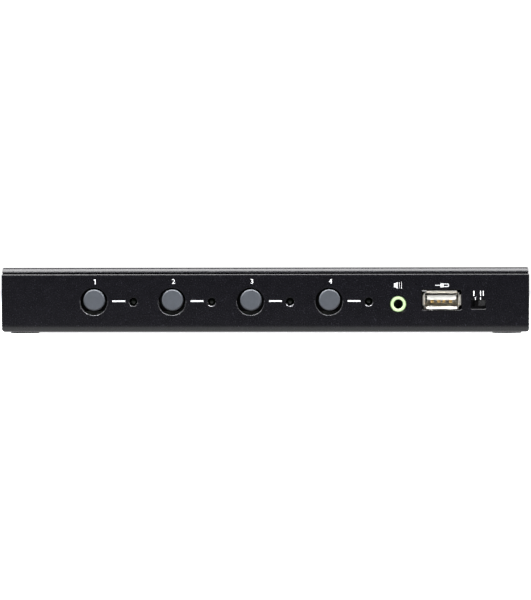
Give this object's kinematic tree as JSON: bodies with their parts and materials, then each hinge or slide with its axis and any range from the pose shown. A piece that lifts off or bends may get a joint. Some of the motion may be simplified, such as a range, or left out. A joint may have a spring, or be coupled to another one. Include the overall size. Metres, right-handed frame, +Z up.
{
  "type": "kvm switch",
  "caption": "Slim desktop box with push-buttons, indicator lights, audio, USB and a slide switch in front, and rows of ports behind.",
  "frame": {"origin": "on the table under the middle of the box", "axes": "+X to the right seen from the front, front faces -Y, +Z up"},
  "size_m": [0.2, 0.077, 0.025],
  "materials": {
    "powder_coat": "fine-textured black powder coat on sheet steel",
    "black_zinc": "black zinc plate",
    "foot_rubber": "soft black rubber",
    "circuit_board": "black solder mask on glass-fibre board",
    "plated_steel": "nickel plate",
    "moulded_black": "moulded black plastic",
    "cap_plastic": "grey-blue moulded plastic, satin",
    "white_plastic": "white moulded plastic",
    "spring_steel": "drawn spring wire",
    "led_green": "dark green tinted epoxy lens",
    "jack_plastic": "light green moulded plastic",
    "tinned_shell": "bright tinned sheet",
    "gold_plate": "gold plate"
  },
  "bodies": {
    "case": {"base_chassis": "powder_coat", "top_cover": "powder_coat", "cover_screws": "black_zinc", "foot_front_left": "foot_rubber", "foot_front_right": "foot_rubber", "foot_rear_left": "foot_rubber", "foot_rear_right": "foot_rubber", "main_board": "circuit_board", "board_standoffs": "plated_steel", "board_screws": "plated_steel", "board_chips": "moulded_black", "switch_spring_1": "spring_steel", "switch_body_1": "moulded_black", "led_1": "led_green", "switch_spring_2": "spring_steel", "switch_body_2": "moulded_black", "led_2": "led_green", "switch_spring_3": "spring_steel", "switch_body_3": "moulded_black", "led_3": "led_green", "switch_spring_4": "spring_steel", "switch_body_4": "moulded_black", "led_4": "led_green", "led_holders": "moulded_black", "audio_jack_body": "jack_plastic", "audio_jack_contacts": "plated_steel", "front_usb_shell": "tinned_shell", "front_usb_insulator": "white_plastic", "front_usb_contacts": "gold_plate", "slide_switch_frame": "black_zinc", "slide_switch_base": "moulded_black", "power_jack_body": "moulded_black", "power_jack_contacts": "plated_steel", "console_usb_shell_1": "tinned_shell", "console_usb_shell_2": "tinned_shell", "console_usb_insulators": "moulded_black", "console_usb_contacts": "gold_plate", "console_video_shell": "tinned_shell", "computer_video_shell_1": "tinned_shell", "computer_video_shell_2": "tinned_shell", "computer_video_shell_3": "tinned_shell", "computer_video_shell_4": "tinned_shell", "video_insulators": "moulded_black", "video_contacts": "gold_plate", "computer_usb_shell_1": "tinned_shell", "computer_usb_shell_2": "tinned_shell", "computer_usb_shell_3": "tinned_shell", "computer_usb_shell_4": "tinned_shell", "computer_usb_insulators": "moulded_black", "computer_usb_contacts": "gold_plate"},
    "button_1": {"button_cap_1": "cap_plastic", "switch_plunger_1": "white_plastic"},
    "button_2": {"button_cap_2": "cap_plastic", "switch_plunger_2": "white_plastic"},
    "button_3": {"button_cap_3": "cap_plastic", "switch_plunger_3": "white_plastic"},
    "button_4": {"button_cap_4": "cap_plastic", "switch_plunger_4": "white_plastic"},
    "slide_knob": {"slide_switch_knob": "moulded_black", "slide_switch_wiper": "gold_plate"}
  },
  "joints": [
    {"name": "button_1_press", "type": "slide", "parent": "case", "child": "button_1", "axis": [0, 1, 0], "range_m": [0, 0.0015], "stiffness_N_per_m": 800, "springref_m": -0.0012, "deforming": ["switch_spring_1"]},
    {"name": "button_2_press", "type": "slide", "parent": "case", "child": "button_2", "axis": [0, 1, 0], "range_m": [0, 0.0015], "stiffness_N_per_m": 800, "springref_m": -0.0012, "deforming": ["switch_spring_2"]},
    {"name": "button_3_press", "type": "slide", "parent": "case", "child": "button_3", "axis": [0, 1, 0], "range_m": [0, 0.0015], "stiffness_N_per_m": 800, "springref_m": -0.0012, "deforming": ["switch_spring_3"]},
    {"name": "button_4_press", "type": "slide", "parent": "case", "child": "button_4", "axis": [0, 1, 0], "range_m": [0, 0.0015], "stiffness_N_per_m": 800, "springref_m": -0.0012, "deforming": ["switch_spring_4"]},
    {"name": "slide_select", "type": "slide", "parent": "case", "child": "slide_knob", "axis": [1, 0, 0], "range_m": [-0.002, 0]}
  ]
}
